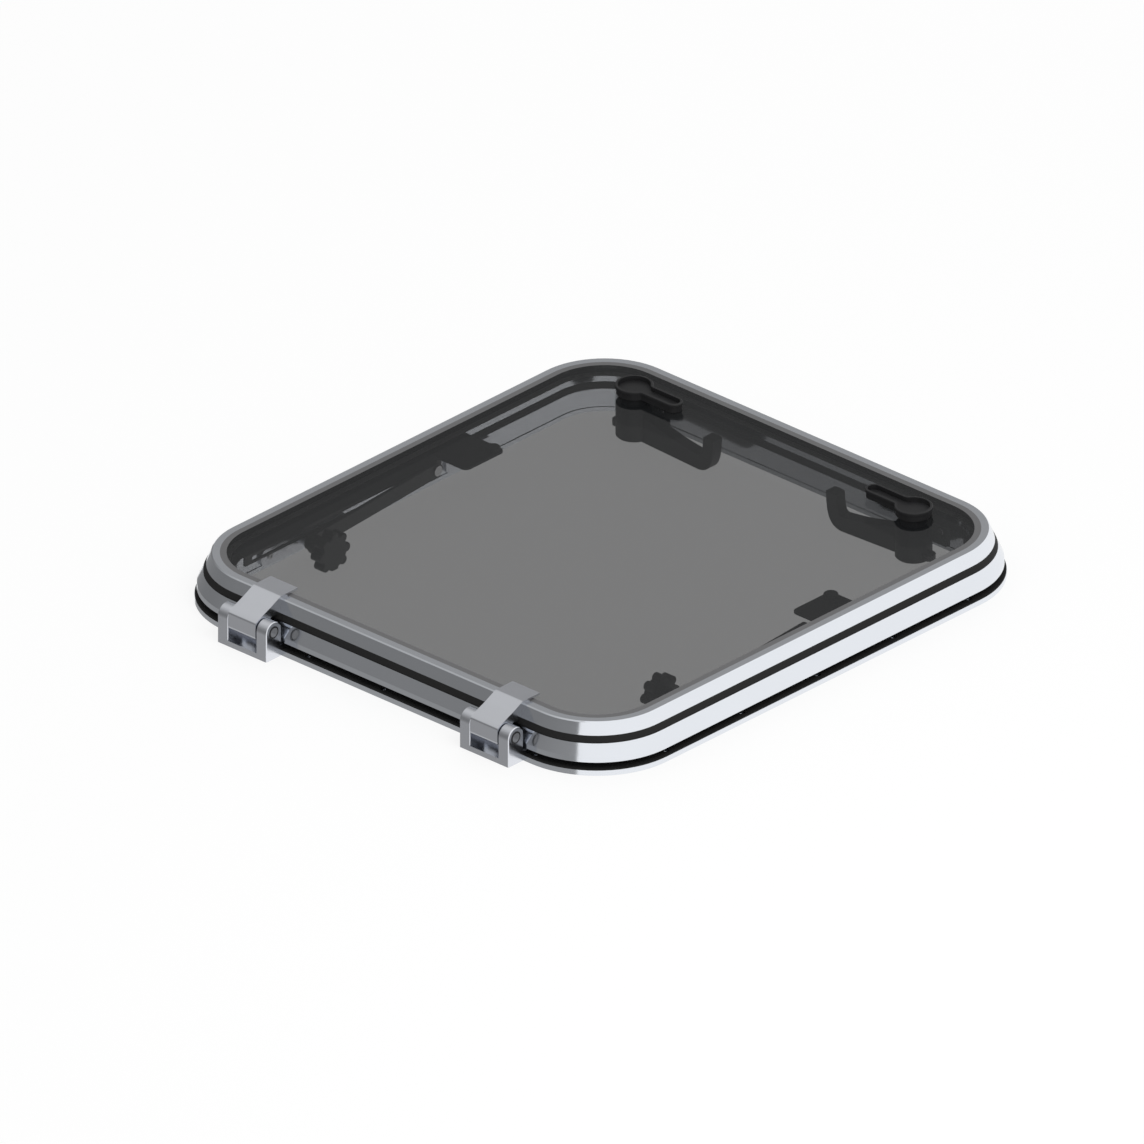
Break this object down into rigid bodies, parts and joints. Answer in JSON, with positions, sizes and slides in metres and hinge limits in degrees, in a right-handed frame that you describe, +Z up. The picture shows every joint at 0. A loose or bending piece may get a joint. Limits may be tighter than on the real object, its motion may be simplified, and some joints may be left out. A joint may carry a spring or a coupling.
{
  "type": "deck hatch",
  "caption": "Glazed deck hatch: smoke-tinted pane in a rounded aluminium lid, hinged on a flanged lower frame with turning handles and sliding friction stays.",
  "frame": {"origin": "centre of the flange's underside, on the deck, which is the middle of the deck screw pattern", "axes": "+X along the hinged edge, +Y from the hinged edge towards the handles, +Z up out of the deck"},
  "size_m": [0.55, 0.608, 0.0598],
  "materials": {
    "frame_metal": "bright anodised",
    "pane": "polished, smoke tinted",
    "sealant": "satin",
    "tape": "matte",
    "seal_rubber": "matte",
    "steel": "satin",
    "pin_steel": "polished",
    "arm_metal": "black anodised",
    "hinge_metal": "satin anodised",
    "bracket_metal": "satin",
    "bush_plastic": "matte",
    "dark_plastic": "matte",
    "knob_plastic": "matte",
    "handle_plastic": "matte"
  },
  "bodies": {
    "frame": {"lower_frame": "frame_metal", "frame_cover": "frame_metal", "hinge_base_screws": "steel", "keeper_screws": "steel", "stay_bracket_screws": "steel", "side_plate_screws": "steel", "hinge_base_left": "hinge_metal", "hinge_base_right": "hinge_metal", "hinge_pin_left": "pin_steel", "hinge_pin_right": "pin_steel", "hinge_bushes_left": "bush_plastic", "hinge_bushes_right": "bush_plastic", "latch_keeper_left": "dark_plastic", "latch_keeper_right": "dark_plastic", "stay_bracket_left": "bracket_metal", "stay_bracket_right": "bracket_metal", "stay_stud_left": "steel", "stay_stud_right": "steel", "side_plate_left": "bracket_metal", "side_plate_right": "bracket_metal"},
    "lid": {"lid_frame": "frame_metal", "glazing": "pane", "glazing_sealant": "sealant", "glazing_tape": "tape", "lid_seal": "seal_rubber", "hinge_leaf_screws": "steel", "track_screws": "steel", "hinge_leaf_left": "hinge_metal", "hinge_leaf_right": "hinge_metal", "stay_track_left": "arm_metal", "stay_track_right": "arm_metal", "track_stop_left": "dark_plastic", "track_stop_right": "dark_plastic", "stop_button_left": "dark_plastic", "stop_button_right": "dark_plastic", "handle_bush_left": "bush_plastic", "handle_bush_right": "bush_plastic"},
    "stay_left": {"stay_arm_left": "arm_metal", "slide_pin_left": "steel", "arm_washer_left": "bush_plastic"},
    "knob_left": {"stay_knob_left": "knob_plastic"},
    "handle_left": {"outer_handle_left": "handle_plastic", "handle_spindle_left": "steel", "inner_handle_left": "handle_plastic", "latch_cam_left": "steel", "handle_cap_left": "dark_plastic"},
    "stay_right": {"stay_arm_right": "arm_metal", "slide_pin_right": "steel", "arm_washer_right": "bush_plastic"},
    "knob_right": {"stay_knob_right": "knob_plastic"},
    "handle_right": {"outer_handle_right": "handle_plastic", "handle_spindle_right": "steel", "inner_handle_right": "handle_plastic", "latch_cam_right": "steel", "handle_cap_right": "dark_plastic"}
  },
  "joints": [
    {"name": "lid_hinge", "type": "hinge", "parent": "frame", "child": "lid", "pos_m": [0, -0.304, 0.027], "axis": [1, 0, 0], "range_deg": [0, 70]},
    {"name": "stay_swing_left", "type": "hinge", "parent": "frame", "child": "stay_left", "pos_m": [-0.2265, -0.13933, 0.0165], "axis": [1, 0, 0], "range_deg": [0, 140]},
    {"name": "knob_turn_left", "type": "hinge", "parent": "frame", "child": "knob_left", "pos_m": [-0.205, -0.13933, 0.0165], "axis": [1, 0, 0], "continuous": true},
    {"name": "handle_turn_left", "type": "hinge", "parent": "lid", "child": "handle_left", "pos_m": [-0.172, 0.229, 0.047], "axis": [0, 0, -1], "range_deg": [0, 90]},
    {"name": "stay_swing_right", "type": "hinge", "parent": "frame", "child": "stay_right", "pos_m": [0.2265, -0.13933, 0.0165], "axis": [1, 0, 0], "range_deg": [0, 140]},
    {"name": "knob_turn_right", "type": "hinge", "parent": "frame", "child": "knob_right", "pos_m": [0.205, -0.13933, 0.0165], "axis": [1, 0, 0], "continuous": true},
    {"name": "handle_turn_right", "type": "hinge", "parent": "lid", "child": "handle_right", "pos_m": [0.172, 0.229, 0.047], "axis": [0, 0, 1], "range_deg": [0, 90]}
  ],
  "couplings": [
    {"joint": "stay_swing_left", "follows": "lid_hinge", "ratio": 2},
    {"joint": "stay_swing_right", "follows": "lid_hinge", "ratio": 2}
  ]
}
